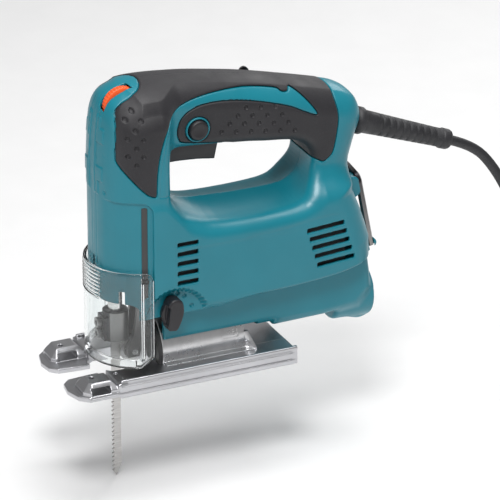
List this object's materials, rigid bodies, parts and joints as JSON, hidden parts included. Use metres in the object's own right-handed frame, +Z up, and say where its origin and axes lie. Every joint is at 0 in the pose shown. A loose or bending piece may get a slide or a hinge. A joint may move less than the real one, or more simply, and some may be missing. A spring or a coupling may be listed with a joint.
{
  "type": "corded jigsaw",
  "caption": "Corded top-handle jigsaw with a tilting base, orbital action, clear dust shield and a coiled mains lead.",
  "frame": {"origin": "on the sole plane, at the middle of the base, on the blade line", "axes": "+X the cutting direction, +Y the left side of the tool, +Z up from the sole"},
  "size_m": [0.4653, 0.0955, 0.2719],
  "materials": {
    "teal_housing": "moulded plastic with a fine satin texture",
    "soft_grip": "matt elastomer",
    "black_plastic": "matt moulded plastic",
    "orange_plastic": "satin moulded plastic",
    "clear_cover": "clear polycarbonate",
    "cast_aluminium": "brushed die casting",
    "bright_steel": "bright satin steel",
    "dark_steel": "blackened steel",
    "blade_steel": "satin saw steel",
    "laminated_steel": "stacked laminations",
    "copper_wire": "lacquered copper",
    "brass_parts": "drawn brass",
    "carbon": "pressed carbon",
    "grey_nylon": "glass filled nylon",
    "cord_rubber": "matt cable rubber"
  },
  "bodies": {
    "housing": {"bearing_front": "bright_steel", "bearing_plate": "grey_nylon", "bearing_rear": "bright_steel", "bevel_bolt": "dark_steel", "bevel_shoe": "bright_steel", "brush_holders": "brass_parts", "carbon_brushes": "carbon", "control_module": "black_plastic", "cord": "cord_rubber", "cord_clamp": "black_plastic", "cord_coil": "cord_rubber", "cord_guard": "cord_rubber", "cord_tie": "black_plastic", "dial_encoder": "black_plastic", "field_coils": "copper_wire", "gear_case": "cast_aluminium", "gear_pin": "bright_steel", "grip_left": "soft_grip", "grip_right": "soft_grip", "housing_left": "teal_housing", "housing_right": "teal_housing", "housing_screws": "dark_steel", "key_clip": "teal_housing", "plug": "cord_rubber", "plug_pins": "brass_parts", "retainer_pin": "bright_steel", "rod_guide": "brass_parts", "stator_core": "laminated_steel", "switch_body": "black_plastic", "trigger_pin": "bright_steel"},
    "armature": {"armature_shaft": "bright_steel", "armature_core": "laminated_steel", "armature_windings": "copper_wire", "commutator": "copper_wire", "cooling_fan": "grey_nylon"},
    "crank": {"crank_gear": "bright_steel"},
    "rod_swing": {"swing_bush": "brass_parts"},
    "plunger": {"plunger_rod": "bright_steel", "yoke": "bright_steel", "blade_clamp": "dark_steel", "clamp_screws": "dark_steel", "blade": "blade_steel"},
    "retainer": {"roller_retainer": "dark_steel", "roller_pin": "bright_steel"},
    "roller": {"guide_roller": "bright_steel"},
    "orbit": {"orbit_shaft": "bright_steel", "orbit_lever": "black_plastic"},
    "trigger": {"trigger": "black_plastic"},
    "lock_button": {"lock_button": "black_plastic"},
    "speed_dial": {"speed_dial": "orange_plastic"},
    "cover": {"dust_cover": "clear_cover"},
    "base": {"base_plate": "cast_aluminium", "base_saddle": "bright_steel", "arch_collar": "black_plastic"},
    "key": {"hex_key": "dark_steel"}
  },
  "joints": [
    {"name": "motor_spin", "type": "hinge", "parent": "housing", "child": "armature", "pos_m": [-0.08, 0, 0.0775], "axis": [1, 0, 0], "continuous": true},
    {"name": "crank_spin", "type": "hinge", "parent": "housing", "child": "crank", "pos_m": [-0.018, 0, 0.0965], "axis": [1, 0, 0], "continuous": true},
    {"name": "rod_orbit", "type": "hinge", "parent": "housing", "child": "rod_swing", "pos_m": [0, 0, 0.134], "axis": [0, -1, 0], "range_deg": [0, 1.2]},
    {"name": "plunger_stroke", "type": "slide", "parent": "rod_swing", "child": "plunger", "axis": [0, 0, 1], "range_m": [0, 0.018]},
    {"name": "roller_swing", "type": "hinge", "parent": "housing", "child": "retainer", "pos_m": [-0.016, 0, 0.054], "axis": [0, -1, 0], "range_deg": [0, 3.5]},
    {"name": "roller_spin", "type": "hinge", "parent": "retainer", "child": "roller", "pos_m": [-0.01025, 0, 0.013], "axis": [0, 1, 0], "continuous": true},
    {"name": "orbit_select", "type": "hinge", "parent": "housing", "child": "orbit", "pos_m": [-0.0255, 0, 0.046], "axis": [0, 1, 0], "range_deg": [0, 105]},
    {"name": "trigger_press", "type": "hinge", "parent": "housing", "child": "trigger", "pos_m": [-0.084, 0, 0.151], "axis": [0, -1, 0], "range_deg": [0, 4], "stiffness_Nm_per_rad": 1.2, "springref_deg": -14.32},
    {"name": "lock_press", "type": "slide", "parent": "housing", "child": "lock_button", "axis": [0, -1, 0], "range_m": [0, 0.0025], "stiffness_N_per_m": 400, "springref_m": -0.004},
    {"name": "dial_turn", "type": "hinge", "parent": "housing", "child": "speed_dial", "pos_m": [-0.0035, 0, 0.1815], "axis": [0, 1, 0], "range_deg": [0, 250]},
    {"name": "base_bevel", "type": "hinge", "parent": "housing", "child": "base", "pos_m": [0, 0, 0.014], "axis": [-1, 0, 0], "range_deg": [0, 45]},
    {"name": "cover_slide", "type": "slide", "parent": "housing", "child": "cover", "axis": [0, 0, 1], "range_m": [0, 0.028]},
    {"name": "key_slide", "type": "slide", "parent": "housing", "child": "key", "axis": [-1, 0, 0], "range_m": [0, 0.02]}
  ],
  "couplings": [
    {"joint": "crank_spin", "follows": "motor_spin", "ratio": -0.26667},
    {"joint": "rod_orbit", "follows": "roller_swing", "ratio": 0.34286},
    {"joint": "cover_slide", "follows": "base_bevel", "m_per_rad": 0.035651}
  ]
}
